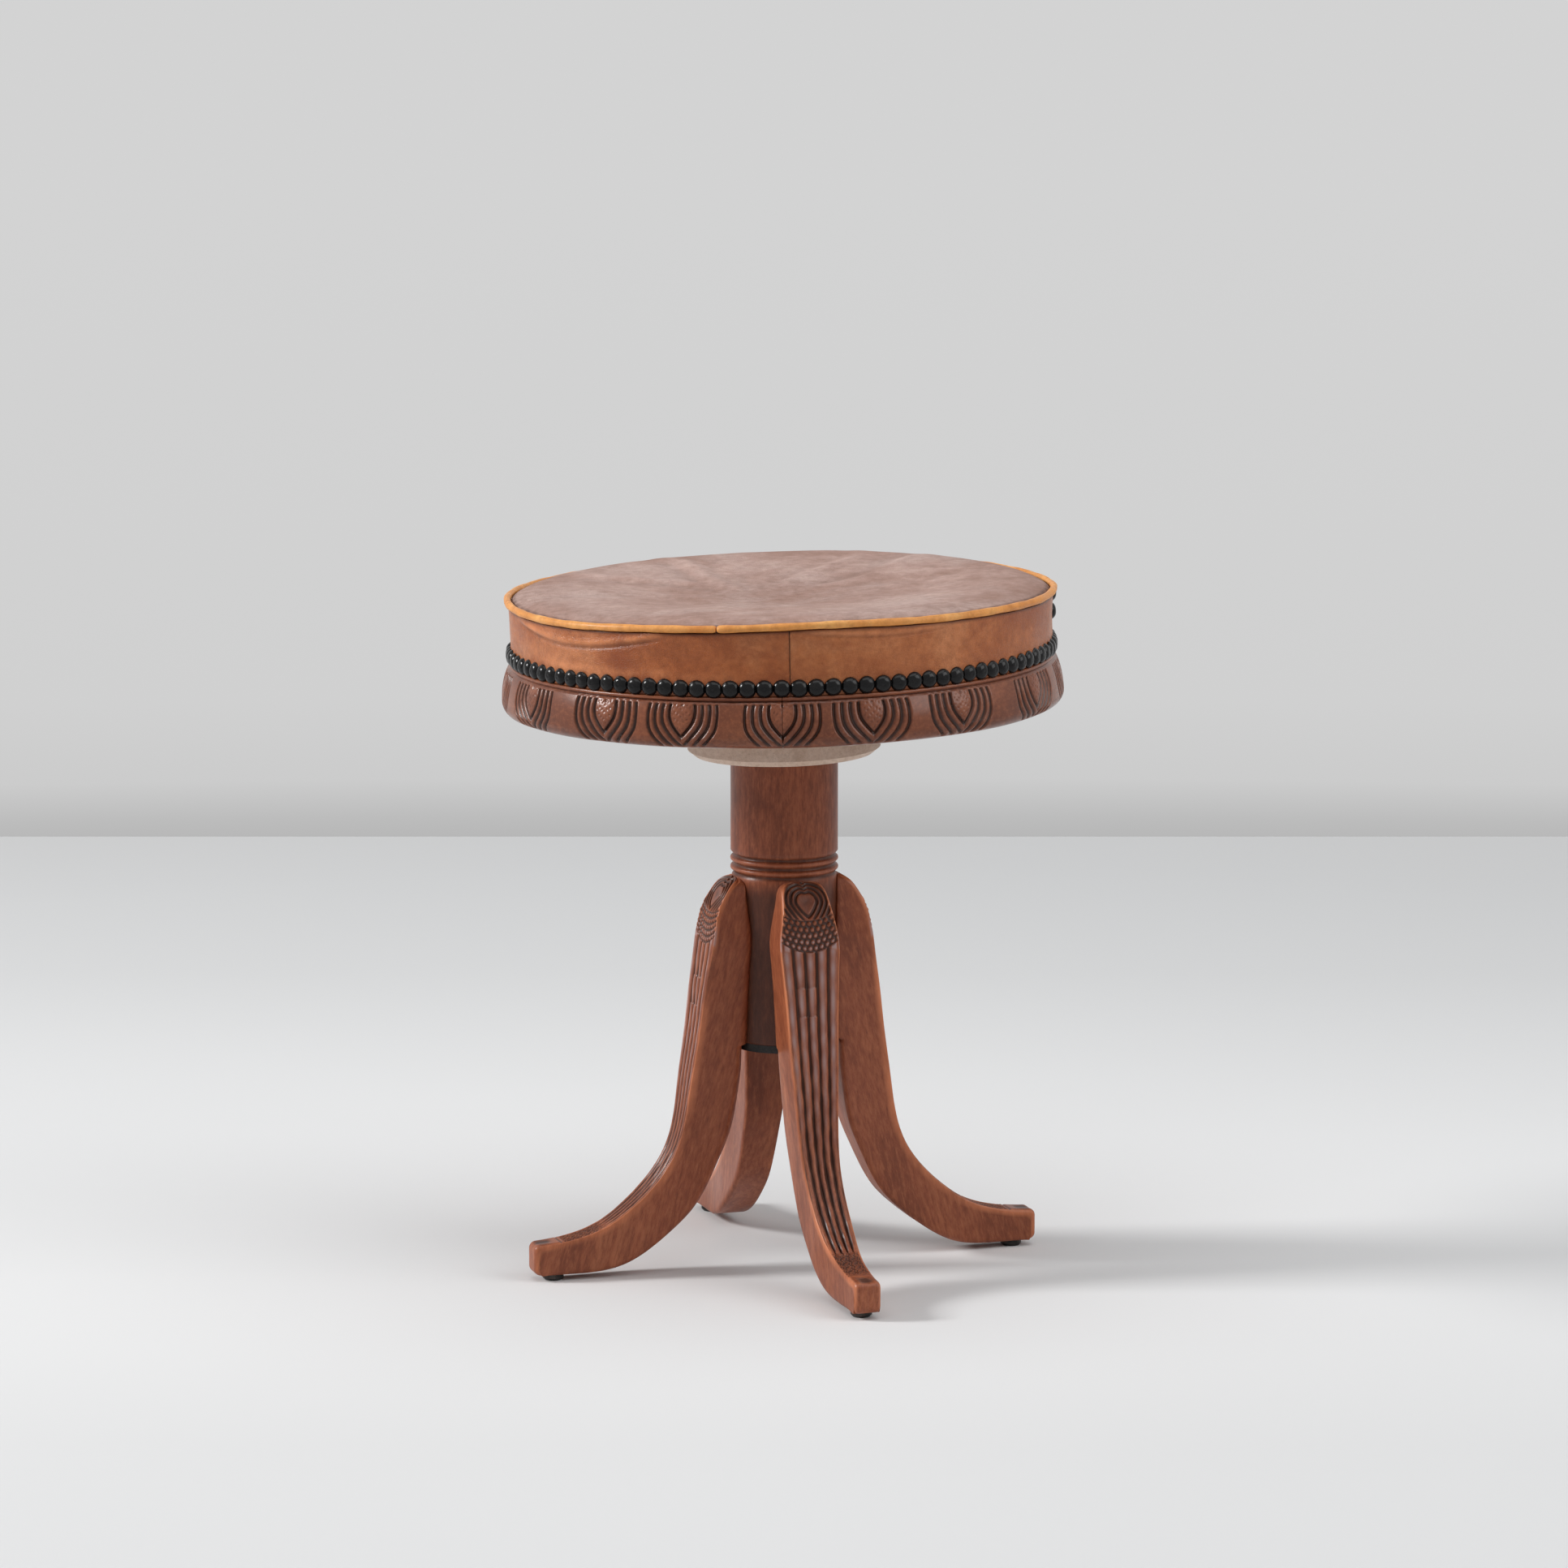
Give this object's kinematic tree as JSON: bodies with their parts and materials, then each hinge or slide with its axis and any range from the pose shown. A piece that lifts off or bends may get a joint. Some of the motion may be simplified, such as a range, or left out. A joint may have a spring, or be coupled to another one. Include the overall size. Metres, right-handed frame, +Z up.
{
  "type": "screw stool",
  "caption": "Round stool with a dished leather seat that turns and rises on an iron screw in a turned column with carved sabre legs.",
  "frame": {"origin": "on the floor under the middle of the stool", "axes": "+Z up; -Y towards the front of the picture; the column stands on +Z"},
  "size_m": [0.386, 0.386, 0.4815],
  "materials": {
    "dark_wood": "stained, waxed, worn on the high places",
    "pale_wood": "bare",
    "iron": "dark, oiled",
    "screw_steel": "dull",
    "glide_metal": "dark, smooth",
    "black_nails": "black, glossy",
    "brown_leather": "old, creased, darker towards the middle",
    "band_leather": "old, satin",
    "tan_leather": "satin",
    "stuffing": "coarse cover over hair stuffing"
  },
  "bodies": {
    "base": {"column": "dark_wood", "column_plate": "iron", "plate_screws": "screw_steel", "leg_dowels": "pale_wood", "screw_nut": "iron", "nut_screws": "screw_steel", "leg_front": "dark_wood", "leg_right": "dark_wood", "leg_back": "dark_wood", "leg_left": "dark_wood", "glide_front": "glide_metal", "glide_right": "glide_metal", "glide_back": "glide_metal", "glide_left": "glide_metal"},
    "screw_stop": {"stop_collar": "iron"},
    "seat": {"screw_rod": "iron", "screw_flange": "iron", "flange_screws": "screw_steel", "boss_left": "pale_wood", "boss_right": "pale_wood", "boss_screws": "screw_steel", "board_left": "dark_wood", "board_right": "dark_wood", "board_dowels": "pale_wood", "edge_hoop": "pale_wood", "stuffing_pad": "stuffing", "leather_top": "brown_leather", "band_quarter": "band_leather", "band_long": "band_leather", "piping": "tan_leather", "band_nails": "black_nails", "seam_nails": "black_nails"}
  },
  "joints": [
    {"name": "seat_rise", "type": "slide", "parent": "base", "child": "screw_stop", "axis": [-0.023, 0, 0.9997], "range_m": [0, 0.104]},
    {"name": "seat_turn", "type": "hinge", "parent": "screw_stop", "child": "seat", "pos_m": [0, 0, 0.358], "axis": [-0.023, 0, 0.9997], "range_deg": [0, 4680]}
  ],
  "couplings": [
    {"joint": "seat_rise", "follows": "seat_turn", "m_per_rad": 0.0012732}
  ]
}
